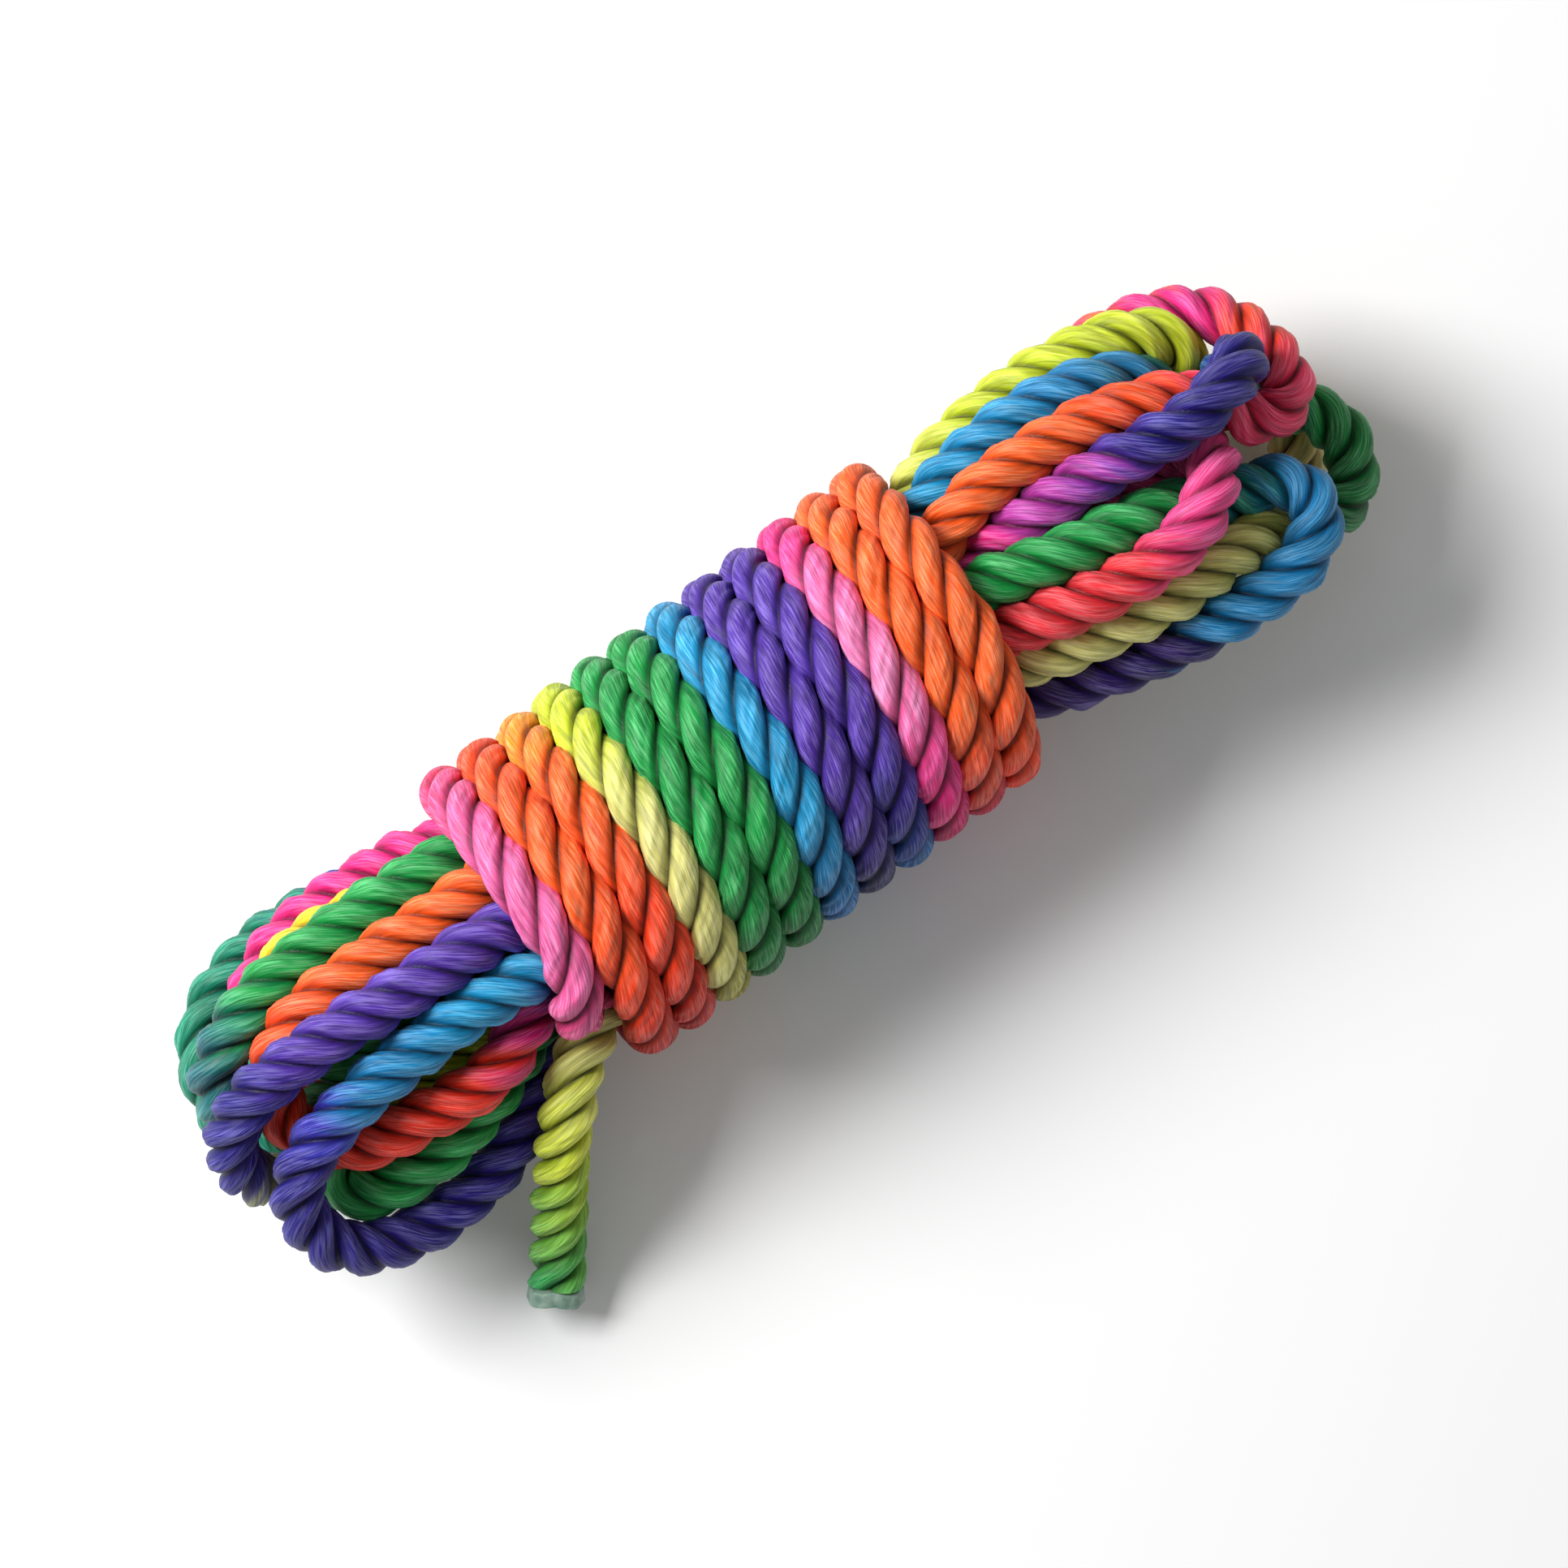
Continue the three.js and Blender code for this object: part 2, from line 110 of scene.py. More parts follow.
# Bights at the right end (+X): place left, route, place returned to, and the dye by millimetres along
rightBights = [
    {"name": "right_bight_lime", "slot": "rope_yellow", "leaves": outerPlace(0), "returns": innerPlace(5),
     "route": [
               (0.0555, 0.0275, 0.005), (0.066, 0.0287, 0.0065), (0.08, 0.028, 0.007),
               (0.094, 0.026, 0.008), (0.105, 0.0235, 0.008), (0.111, 0.0205, 0.007),
               (0.1145, 0.016, 0.005), (0.115, 0.0125, -0.001), (0.111, 0.011, -0.007),
               (0.103, 0.011, -0.012), (0.088, 0.01, -0.012), (0.068, 0.009, -0.01),
     ],
     "dye": [(0, "paleLime"), (54, "paleLime"), (74, "lime"), (140, "lime"), (180, "olive"),
              (254, "green")]},
    {"name": "right_bight_blue", "slot": "rope_blue", "leaves": outerPlace(1), "returns": innerPlace(0),
     "route": [
               (0.057, 0.0215, 0.014), (0.069, 0.0225, 0.0155), (0.081, 0.022, 0.016),
               (0.091, 0.0205, 0.016), (0.099, 0.0185, 0.015), (0.105, 0.016, 0.012), (0.108, 0.013, 0.007),
               (0.107, 0.011, 0.001), (0.101, 0.011, -0.003), (0.09, 0.011, -0.002), (0.068, 0.011, 0.002),
     ],
     "dye": [(0, "sky"), (60, "sky"), (98, "azure"), (110, "darkTeal"), (125, "green"), (231, "green")]},
    {"name": "right_bight_coral", "slot": "rope_orange", "leaves": outerPlace(2), "returns": outerPlace(11),
     "route": [
               (0.056, 0.0155, 0.021), (0.069, 0.015, 0.0215), (0.081, 0.0135, 0.021),
               (0.092, 0.0115, 0.02), (0.101, 0.008, 0.018), (0.107, 0.0045, 0.015), (0.11, 0, 0.0115),
               (0.1125, -0.005, 0.009), (0.1175, -0.0083, 0.008), (0.1225, -0.0065, 0.007),
               (0.125, -0.0005, 0.006), (0.124, 0.007, 0.004), (0.123, 0.013, 0.0015),
               (0.12, 0.0185, -0.001), (0.114, 0.0225, -0.003), (0.106, 0.0255, -0.005),
               (0.095, 0.0268, -0.006), (0.082, 0.0268, -0.007), (0.068, 0.026, -0.008),
               (0.057, 0.0235, -0.009),
     ],
     "dye": [(0, "orange"), (84, "orange"), (104, "flame"), (120, "coralPink"), (140, "coralPink"),
              (152, "flame"), (162, "pink"), (170, "pink"), (178, "orange"), (186, "pink"),
              (197, "purple"), (304, "purple")]},
    {"name": "right_bight_violet", "slot": "rope_violet", "leaves": innerPlace(1), "returns": innerPlace(2),
     "route": [
               (0.056, 0.008, 0.021), (0.066, 0.007, 0.023), (0.078, 0.0055, 0.024), (0.088, 0.0035, 0.025),
               (0.097, 0.0015, 0.026), (0.106, 0, 0.0265), (0.1145, 0.0005, 0.0255), (0.12, 0.002, 0.0218),
               (0.1213, 0.003, 0.016), (0.1185, 0.003, 0.009), (0.1173, 0.001, 0.0015),
               (0.12, -0.002, -0.0055), (0.126, -0.005, -0.0095), (0.131, -0.009, -0.0115),
               (0.1335, -0.0155, -0.012), (0.1315, -0.022, -0.012), (0.1255, -0.026, -0.011),
               (0.1185, -0.026, -0.008), (0.1125, -0.0235, -0.002), (0.108, -0.022, 0.005),
               (0.102, -0.021, 0.011), (0.095, -0.021, 0.014), (0.086, -0.021, 0.0155),
               (0.076, -0.0195, 0.0165), (0.066, -0.017, 0.017), (0.056, -0.0135, 0.016),
     ],
     "dye": [(0, "pink"), (60, "pink"), (72, "orchid"), (84, "orchid"), (94, "purple"),
              (106, "indigo"), (136, "indigo"), (146, "blue"), (156, "teal"), (168, "green"),
              (198, "darkGreen"), (214, "olive"), (236, "paleOlive"), (327, "paleOlive")]},
    {"name": "right_bight_green", "slot": "rope_green", "leaves": outerPlace(3), "returns": outerPlace(6),
     "route": [
               (0.057, -0.001, 0.022), (0.068, -0.004, 0.024), (0.078, -0.006, 0.0235),
               (0.087, -0.0075, 0.022), (0.094, -0.008, 0.019), (0.0995, -0.0085, 0.014),
               (0.105, -0.01, 0.009), (0.111, -0.013, 0.007), (0.117, -0.015, 0.008),
               (0.1195, -0.0195, 0.009), (0.118, -0.026, 0.01), (0.111, -0.03, 0.01),
               (0.101, -0.0315, 0.009), (0.09, -0.031, 0.008), (0.078, -0.0295, 0.007),
               (0.067, -0.027, 0.005), (0.056, -0.0235, 0.003),
     ],
     "dye": [(0, "green"), (96, "green"), (112, "teal"), (124, "azure"), (160, "azure"), (170, "navy"),
              (178, "darkPurple"), (255, "darkPurple")]},
    {"name": "right_bight_rose", "slot": "rope_pink", "leaves": outerPlace(4), "returns": innerPlace(4),
     "route": [
               (0.057, -0.01, 0.02), (0.065, -0.012, 0.0215), (0.075, -0.014, 0.0225),
               (0.084, -0.015, 0.023), (0.092, -0.015, 0.023), (0.101, -0.013, 0.022),
               (0.1075, -0.0095, 0.019), (0.11, -0.006, 0.013), (0.109, -0.004, 0.005),
               (0.105, -0.0045, -0.003), (0.097, -0.005, -0.008), (0.085, -0.004, -0.01),
               (0.066, -0.003, -0.0105),
     ],
     "dye": [(0, "crimson"), (58, "redCoral"), (84, "redCoral"), (96, "hotRose"), (125, "hotRose"),
              (241, "orchid")]},
    {"name": "right_bight_teal", "slot": "rope_green", "leaves": outerPlace(7), "returns": innerPlace(3),
     "route": [
               (0.058, -0.021, -0.01), (0.07, -0.023, -0.01), (0.085, -0.024, -0.009),
               (0.095, -0.022, -0.008), (0.101, -0.016, -0.007), (0.097, -0.011, -0.005),
               (0.088, -0.01, -0.004), (0.072, -0.01, -0.003),
     ],
     "dye": [(0, "teal"), (206, "sky")]},
    {"name": "right_bight_cream", "slot": "rope_yellow", "leaves": outerPlace(8), "returns": outerPlace(10),
     "route": [
               (0.058, -0.013, -0.02), (0.072, -0.015, -0.023), (0.09, -0.019, -0.025),
               (0.106, -0.021, -0.025), (0.12, -0.018, -0.0245), (0.127, -0.01, -0.024),
               (0.125, 0.002, -0.024), (0.117, 0.011, -0.0245), (0.104, 0.017, -0.025),
               (0.088, 0.016, -0.024), (0.072, 0.013, -0.021), (0.059, 0.011, -0.018),
     ],
     "dye": [(0, "cream"), (271, "cream")]},
]

# Bights at the left end (-X)
leftBights = [
    {"name": "left_bight_blue", "slot": "rope_blue", "leaves": outerPlace(11), "returns": outerPlace(10),
     "route": [
               (-0.058, 0.0225, -0.009), (-0.065, 0.025, -0.012), (-0.073, 0.027, -0.0145),
               (-0.084, 0.0279, -0.015), (-0.094, 0.0268, -0.015), (-0.102, 0.024, -0.0145),
               (-0.1085, 0.02, -0.014), (-0.113, 0.0145, -0.014), (-0.1155, 0.008, -0.016),
               (-0.1155, 0.001, -0.0195), (-0.111, -0.004, -0.023), (-0.101, -0.003, -0.026),
               (-0.086, 0.003, -0.027), (-0.068, 0.009, -0.024),
     ],
     "dye": [(0, "azure"), (62, "azure"), (68, "cobalt"), (76, "cobalt"), (86, "seaGreen"),
              (120, "seaGreen"), (150, "teal"), (269, "green")]},
    {"name": "left_bight_pink", "slot": "rope_pink", "leaves": outerPlace(0), "returns": outerPlace(9),
     "route": [
               (-0.054, 0.024, 0.002), (-0.061, 0.0255, -0.0015), (-0.07, 0.026, -0.004),
               (-0.078, 0.026, -0.005), (-0.086, 0.0257, -0.0052), (-0.093, 0.024, -0.0055),
               (-0.099, 0.0205, -0.007), (-0.103, 0.016, -0.009), (-0.105, 0.011, -0.012),
               (-0.102, 0.006, -0.0155), (-0.096, 0.002, -0.018), (-0.082, 0, -0.0195), (-0.066, 0, -0.02),
     ],
     "dye": [(0, "pink"), (150, "pink"), (237, "orchid")]},
    {"name": "left_bight_yellow", "slot": "rope_yellow", "leaves": innerPlace(0), "returns": innerPlace(4),
     "route": [
               (-0.055, 0.017, 0.005), (-0.067, 0.0215, 0.005), (-0.079, 0.023, 0.0045),
               (-0.089, 0.0228, 0.0035), (-0.096, 0.019, 0.0015), (-0.0995, 0.013, -0.0015),
               (-0.097, 0.005, -0.005), (-0.086, -0.001, -0.008), (-0.068, -0.003, -0.01),
     ],
     "dye": [(0, "yellow"), (140, "yellow"), (207, "amber")]},
    {"name": "left_bight_green", "slot": "rope_green", "leaves": outerPlace(1), "returns": innerPlace(5),
     "route": [
               (-0.054, 0.0175, 0.0155), (-0.062, 0.018, 0.0145), (-0.073, 0.0186, 0.0135),
               (-0.083, 0.0188, 0.0132), (-0.092, 0.0185, 0.013), (-0.102, 0.017, 0.012),
               (-0.109, 0.0145, 0.0095), (-0.114, 0.0115, 0.006), (-0.116, 0.008, 0.0005),
               (-0.1135, 0.006, -0.006), (-0.106, 0.008, -0.009), (-0.092, 0.01, -0.009),
               (-0.07, 0.009, -0.0085),
     ],
     "dye": [(0, "green"), (98, "green"), (114, "darkTeal"), (150, "teal"), (247, "blue")]},
    {"name": "left_bight_orange", "slot": "rope_orange", "leaves": outerPlace(2), "returns": innerPlace(2),
     "route": [
               (-0.054, 0.011, 0.0205), (-0.062, 0.011, 0.02), (-0.073, 0.0112, 0.0198),
               (-0.083, 0.0114, 0.0196), (-0.092, 0.011, 0.019), (-0.099, 0.0095, 0.0165),
               (-0.104, 0.006, 0.0125), (-0.107, 0.001, 0.009), (-0.106, -0.0055, 0.007),
               (-0.102, -0.011, 0.006), (-0.096, -0.0155, 0.008), (-0.089, -0.017, 0.01),
               (-0.082, -0.0185, 0.011), (-0.073, -0.02, 0.012), (-0.065, -0.0185, 0.0115),
               (-0.056, -0.0135, 0.009),
     ],
     "dye": [(0, "orange"), (84, "orange"), (108, "flame"), (126, "redOrange"), (160, "redOrange"),
              (174, "magenta"), (184, "purple"), (236, "purple")]},
    {"name": "left_bight_indigo", "slot": "rope_violet", "leaves": outerPlace(3), "returns": outerPlace(8),
     "route": [
               (-0.054, 0.003, 0.023), (-0.063, 0.0028, 0.0255), (-0.074, 0.003, 0.0262),
               (-0.085, 0.0035, 0.0262), (-0.094, 0.004, 0.0255), (-0.103, 0.004, 0.023),
               (-0.111, 0.0035, 0.0185), (-0.1165, 0.001, 0.0125), (-0.1195, -0.003, 0.005),
               (-0.1185, -0.008, -0.004), (-0.113, -0.012, -0.011), (-0.102, -0.014, -0.015),
               (-0.086, -0.013, -0.018), (-0.068, -0.0115, -0.018),
     ],
     "dye": [(0, "purple"), (98, "purple"), (112, "indigo"), (140, "indigo"), (150, "olive"),
              (185, "lime"), (265, "lime")]},
    {"name": "left_bight_emerald", "slot": "rope_green", "leaves": innerPlace(1), "returns": innerPlace(3),
     "route": [
               (-0.056, 0, 0.014), (-0.066, -0.002, 0.0155), (-0.076, -0.0025, 0.0155),
               (-0.086, -0.0025, 0.0135), (-0.095, -0.0035, 0.0075), (-0.103, -0.007, 0),
               (-0.1075, -0.013, -0.003), (-0.1085, -0.0185, -0.0035), (-0.104, -0.023, -0.0025),
               (-0.095, -0.0248, -0.001), (-0.084, -0.0245, 0), (-0.074, -0.022, 0),
               (-0.062, -0.017, -0.001),
     ],
     "dye": [(0, "green"), (231, "green")]},
    {"name": "left_bight_cyan", "slot": "rope_blue", "leaves": outerPlace(4), "returns": outerPlace(7),
     "route": [
               (-0.054, -0.009, 0.02), (-0.06, -0.0085, 0.0215), (-0.067, -0.0075, 0.022),
               (-0.076, -0.0075, 0.0215), (-0.085, -0.0075, 0.021), (-0.094, -0.0085, 0.02),
               (-0.102, -0.0095, 0.0185), (-0.109, -0.0115, 0.015), (-0.1135, -0.015, 0.011),
               (-0.1155, -0.0205, 0.006), (-0.114, -0.027, 0.001), (-0.1095, -0.031, -0.003),
               (-0.1025, -0.0335, -0.006), (-0.093, -0.0345, -0.008), (-0.084, -0.0335, -0.009),
               (-0.075, -0.031, -0.009), (-0.068, -0.0275, -0.009), (-0.058, -0.0225, -0.009),
     ],
     "dye": [(0, "sky"), (72, "sky"), (84, "azure"), (95, "azure"), (102, "violetBlue"),
              (110, "indigo"), (180, "indigo"), (196, "purple"), (258, "purple")]},
]

# The slack end comes out at the near side, passes over a bight and down to the ground
freeEnd = {
    "name": "free_end", "slot": "rope_yellow", "leaves": outerPlace(6),
    "entry": 0.006,
    "route": [(-0.049, -0.025, 0.0015), (-0.055, -0.028, 0.003), (-0.059, -0.0305, 0.003),
              (-0.064, -0.0345, 0.0005), (-0.0685, -0.0385, -0.0045), (-0.0725, -0.0425, -0.011),
              (-0.0765, -0.047, -0.017),
              (-0.08, -0.051, -0.022), (-0.0828, -0.0542, -0.0252), (-0.0848, -0.0566, -0.0264)],
    "unwinds": (0.045, 0.06),    # where the lay changes from that of the passes to its own
    "swells": (0.04, 0.055),     # and where its thickness does
    "dye": [(0, "olive"), (50, "paleOlive"), (74, "lime"), (92, "leaf"), (112, "green")],
}

# From the last pass the rope turns out at the right and joins the binding
lead = {
    "leaves": outerPlace(9), "straight": 0.003,
    "route": [(0.05, 0, -0.0204), (0.056, 0.001, -0.0218), (0.0595, 0.006, -0.0242),
              (0.057, 0.0135, -0.0254)],
}

# The first turn's end is tucked back under its neighbours
tuck = {
    "place": outerPlace(5), "straight": 0.003, "entry": 0.004, "length": 0.032,
    "route": [(-0.0515, -0.018, 0.019), (-0.053, -0.0192, 0.0132), (-0.049, -0.0183, 0.0104)],
}


def catmullLine(points, perSpan=24):
    p = np.array(points, float)
    p = np.vstack([2 * p[0] - p[1], p, 2 * p[-1] - p[-2]])
    gaps = np.sqrt(np.linalg.norm(np.diff(p, axis=0), axis=1))
    t = np.linspace(0, 1, perSpan, endpoint=False)[:, None]
    spans = []
    for i in range(1, len(p) - 2):
        x0, x1, x2, x3 = p[i - 1:i + 3]
        d0, d1, d2 = gaps[i - 1:i + 2]
        m1 = ((x1 - x0) / d0 - (x2 - x0) / (d0 + d1) + (x2 - x1) / d1) * d1
        m2 = ((x2 - x1) / d1 - (x3 - x1) / (d1 + d2) + (x3 - x2) / d2) * d1
        spans.append(x1 + m1 * t + (-3 * x1 + 3 * x2 - 2 * m1 - m2) * t ** 2
                     + (2 * x1 - 2 * x2 + m1 + m2) * t ** 3)
    return np.vstack(spans + [p[-2][None]])


def lengthAlong(line):
    return np.concatenate([[0], np.cumsum(np.linalg.norm(np.diff(line, axis=0), axis=1))])


def evenly(line, step):
    along = lengthAlong(line)
    count = max(2, int(round(along[-1] / step)))
    at = np.linspace(0, along[-1], count + 1)
    return np.stack([np.interp(at, along, line[:, k]) for k in range(3)], 1)


# Binding turns: they lean towards -X as they come down the near side
def smoothStep(value):
    t = min(1, max(0, value))
    return t * t * (3 - 2 * t)


def wrapLean(angle, turn):
    nearLean = binding["nearLeanFirst"] + binding["nearLeanGrowth"] * (turn - 2)
    return (nearLean * smoothStep((angle - math.pi / 2) / (math.pi / 2))
            + (binding["pitch"] - nearLean) * smoothStep((angle - math.pi) / math.pi))


def wrapPoint(turn, angle):
    wound = wrapLean(angle + 2 * math.pi, turn + 1) - binding["pitch"] if angle < 0 else wrapLean(angle, turn)
    return np.array([binding["firstX"] + binding["pitch"] * (turn - 1) - wound,
                     binding["radius"] * math.cos(angle), binding["radius"] * math.sin(angle)])


def wrapTangent(turn, angle):
    between = wrapPoint(turn, angle + 0.01) - wrapPoint(turn, angle - 0.01)
    return between / np.linalg.norm(between)


def wrapTurn(turn, fromAngle, toAngle, steps):
    return np.array([wrapPoint(turn, a) for a in np.linspace(fromAngle, toAngle, steps + 1)])


def strand(points, endFree=False, joint=None):
    start = evenly(catmullLine(points), hank["sampleStep"])
    return {"start": start, "points": start.copy(), "endFree": endFree, "joint": joint}


def fixedRope():
    fullTurn = [wrapTurn(turn, seam, 2 * math.pi + seam, 2 * binding["steps"]) for turn in (2, 3, 11, 12)]
    overTurn = wrapTurn(1, seam, tuckAngle, 34)
    return np.vstack(fullTurn + [overTurn])


# Soft rope makes room for itself: points closer than the clearance push each other
# apart, and the shift is spread smoothly along each strand
def settle(strands):
    fixed = fixedRope()
    owner = np.concatenate([np.full(len(s["points"]), i) for i, s in enumerate(strands)])
    index = np.concatenate([np.arange(len(s["points"])) for s in strands])
    same = (owner[:, None] == owner) & (abs(index[:, None] - index) * hank["sampleStep"] < samePart)
    ignored = np.zeros((len(owner), len(fixed)), bool)
    for i, s in enumerate(strands):
        if s["joint"] is not None:
            ignored[owner == i] = np.linalg.norm(fixed - s["joint"], axis=1) < samePart
    for _ in range(hank["rounds"]):
        at = np.vstack([s["points"] for s in strands])
        shift = pushApart(at, at, same, hank["clearance"], 0.5)
        shift = shift + pushApart(at, fixed, ignored, binding["clearance"], 1)
        first = 0
        for s in strands:
            s["points"] = s["points"] + shift[first:first + len(s["points"])]
            first += len(s["points"])
            spreadShift(s)


def pushApart(at, others, skip, least, share):
    between = at[:, None] - others[None]
    distance = np.maximum(np.linalg.norm(between, axis=2), 1e-9)
    push = np.where(skip | (distance > least), 0, share * (least - distance) / distance)
    return (between * push[..., None]).sum(1)


def spreadShift(s):
    moved = s["points"] - s["start"]
    spread = s["start"].copy()
    spread[1:-1] += 0.5 * moved[1:-1] + 0.25 * (moved[:-2] + moved[2:])
    if s["endFree"]:
        spread[-1] = s["points"][-1]
    spread[:, 2] = np.maximum(spread[:, 2], lowestCentre)
    s["points"] = spread


def softened(points, times=3):
    p = points.copy()
    for _ in range(times):
        p[1:-1] = 0.5 * p[1:-1] + 0.25 * (p[:-2] + p[2:])
    return p


def bightStrand(bight):
    edge = hank["waistLeft"] if bight["route"][0][0] < 0 else hank["waistRight"]
    return strand([(edge, *bight["leaves"]), *bight["route"], (edge, *bight["returns"])])


def lineThrough(points):
    line = evenly(catmullLine(points, 8), rope["ringStep"])
    return line + [0, 0, axisHeight]


def settledLines():
    bights = rightBights + leftBights
    strands = [bightStrand(b) for b in bights]
    joint = wrapPoint(binding["count"], seam)
    before = joint - wrapTangent(binding["count"], seam) * lead["straight"]
    leadStart = (hank["waistRight"], *lead["leaves"])
    strands.append(strand([leadStart, *lead["route"], before, joint], joint=joint))
    tuckStart = wrapPoint(1, tuckAngle)
    after = tuckStart + wrapTangent(1, tuckAngle) * tuck["straight"]
    under = (hank["waistLeft"] + tuck["entry"], *tuck["place"])
    strands.append(strand([tuckStart, after, *tuck["route"], under], joint=tuckStart))
    slackStart = (hank["waistLeft"] + freeEnd["entry"], *freeEnd["leaves"])
    strands.append(strand([slackStart, *freeEnd["route"]], endFree=True))
    settle(strands)

    lines = {}
    for b, s in zip(bights, strands):
        edge = math.copysign(hank["gap"] / 2, b["route"][0][0])
        runs = [[(edge, *b["leaves"])], softened(s["points"]), [(edge, *b["returns"])]]
        lines[b["name"]] = lineThrough(np.vstack(runs))
    leadRun, tuckRun, tailRun = (softened(s["points"], 2) for s in strands[-3:])
    lines["free_end"] = lineThrough(np.vstack([[(-hank["gap"] / 2, *freeEnd["leaves"])], tailRun]))
    leadIn = np.vstack([[(hank["gap"] / 2, *lead["leaves"])], leadRun])
    tuckOut = np.vstack([tuckRun, [(hank["waistLeft"] + tuck["length"], *tuck["place"])]])
    return lines, leadIn, tuckOut

fibre = {
    "across": 0.00034,       # width of one fibre bundle
    "along": 0.0052,         # and how far it runs before it dives under
    "clump": 0.0012,
    "girth": 0.031,          # once round the rope
    "passLean": 0.45,        # fibres run between their strand's direction (0) and the rope's (1)
    "bindingLean": 0.85,
    "bump": 0.00035,
    "bumpStrength": 0.55,
    "sheen": 0.04,
    "depth": 1.3,            # above 1 the dyes go deeper than their swatches
    "roughness": 0.50,
}

dyes = {
    "pink": "#ee3a94", "palePink": "#f294c2", "lightPink": "#f078b0", "hotRose": "#ee5598",
    "redPink": "#ea3c70", "coralPink": "#ec4570", "redCoral": "#e9444e", "crimson": "#c81f48",
    "crimsonMagenta": "#b8155a", "magenta": "#c92a8c", "orchid": "#c04cae", "darkRed": "#b81c16",
    "redOrange": "#ee4222", "flame": "#f4561f", "orange": "#fa762e", "amber": "#fba428",
    "yellow": "#f0d634", "paleLime": "#dbe07c", "lime": "#cfdb3c", "paleOlive": "#dcd88c",
    "olive": "#b4b75a", "deepOlive": "#98973a", "cream": "#d8c27e", "leaf": "#86bc4a",
    "green": "#17a256", "darkGreen": "#0f7540", "seaGreen": "#16967a", "teal": "#1a9684",
    "darkTeal": "#11727c", "sky": "#1d9fca", "azure": "#1b8cbc", "blue": "#1a6ea6",
    "cobalt": "#2450a8", "violetBlue": "#423fae", "indigo": "#32228c", "navy": "#1f1c62",
    "purple": "#6442aa", "darkPurple": "#42207c",
}

# Dye along the binding, by turns wound since the seam of turn 12: the far side is at .125, the top at .375
# and the near side at .625. The darker stops at the near side of each turn (about .62) are painted shade,
# and the pale stops on top (about .38) are painted highlight.
bindingDyeAndShade = [
    (-0.45, "orange"), (0.45, "orange"), (0.62, "redOrange"), (0.85, "orange"), (1.45, "orange"),
    (1.62, "crimson"), (1.8, "pink"), (2.2, "pink"), (2.38, "palePink"), (2.5, "pink"),
    (2.62, "crimsonMagenta"), (2.85, "purple"), (3.42, "purple"), (3.52, "indigo"), (3.64, "blue"),
    (3.85, "indigo"), (4.1, "purple"), (4.42, "purple"), (4.6, "navy"), (4.85, "blue"),
    (5.1, "sky"), (5.42, "sky"), (5.6, "blue"), (5.85, "teal"), (6.1, "green"), (6.45, "green"),
    (6.62, "darkGreen"), (6.85, "green"), (7.45, "green"), (7.62, "darkGreen"), (7.85, "leaf"),
    (8.1, "lime"), (8.25, "lime"), (8.38, "paleOlive"), (8.5, "paleOlive"), (8.63, "deepOlive"),
    (8.88, "amber"), (9.16, "amber"), (9.3, "orange"), (9.45, "flame"), (9.63, "darkRed"),
    (9.85, "flame"), (10.14, "flame"), (10.36, "orange"), (10.5, "flame"), (10.63, "darkRed"),
    (10.85, "crimson"), (11.1, "redPink"), (11.3, "lightPink"), (11.43, "lightPink"),
    (11.58, "crimsonMagenta"), (12.5, "crimsonMagenta"),
]


def linearDye(name):
    code = dyes[name].lstrip("#")
    srgb = np.array([int(code[i:i + 2], 16) / 255 for i in (0, 2, 4)])
    return np.where(srgb <= 0.04045, srgb / 12.92, ((srgb + 0.055) / 1.055) ** 2.4) ** fibre["depth"]


# Smooth noise over a grid of rings and section points, with cells of the given size
def softNoise(rng, rings, around, ringCell, aroundCell):
    rows, columns = int(rings / ringCell) + 3, max(3, int(round(around / aroundCell)))
    cells = rng.standard_normal((rows, columns))
    r = np.arange(rings) / ringCell
    c = np.arange(around) * columns / around
    r0, c0 = r.astype(int), c.astype(int)
    fr, fc = (r - r0)[:, None], (c - c0)[None]
    fr, fc = fr * fr * (3 - 2 * fr), fc * fc * (3 - 2 * fc)
    a, b = cells[r0][:, c0 % columns], cells[r0][:, (c0 + 1) % columns]
    d, e = cells[r0 + 1][:, c0 % columns], cells[r0 + 1][:, (c0 + 1) % columns]
    return (a * (1 - fc) + b * fc) * (1 - fr) + (d * (1 - fc) + e * fc) * fr


def directions(line):
    t = np.gradient(line, axis=0)
    return t / np.linalg.norm(t, axis=1)[:, None]


# Carries a sideways direction along a line without turning it about the line
def carried(tangents, first):
    sides = np.empty_like(tangents)
    side = np.array(first, float)
    for i, t in enumerate(tangents):
        side = side - t * side.dot(t)
        side /= np.linalg.norm(side)
        sides[i] = side
    return sides


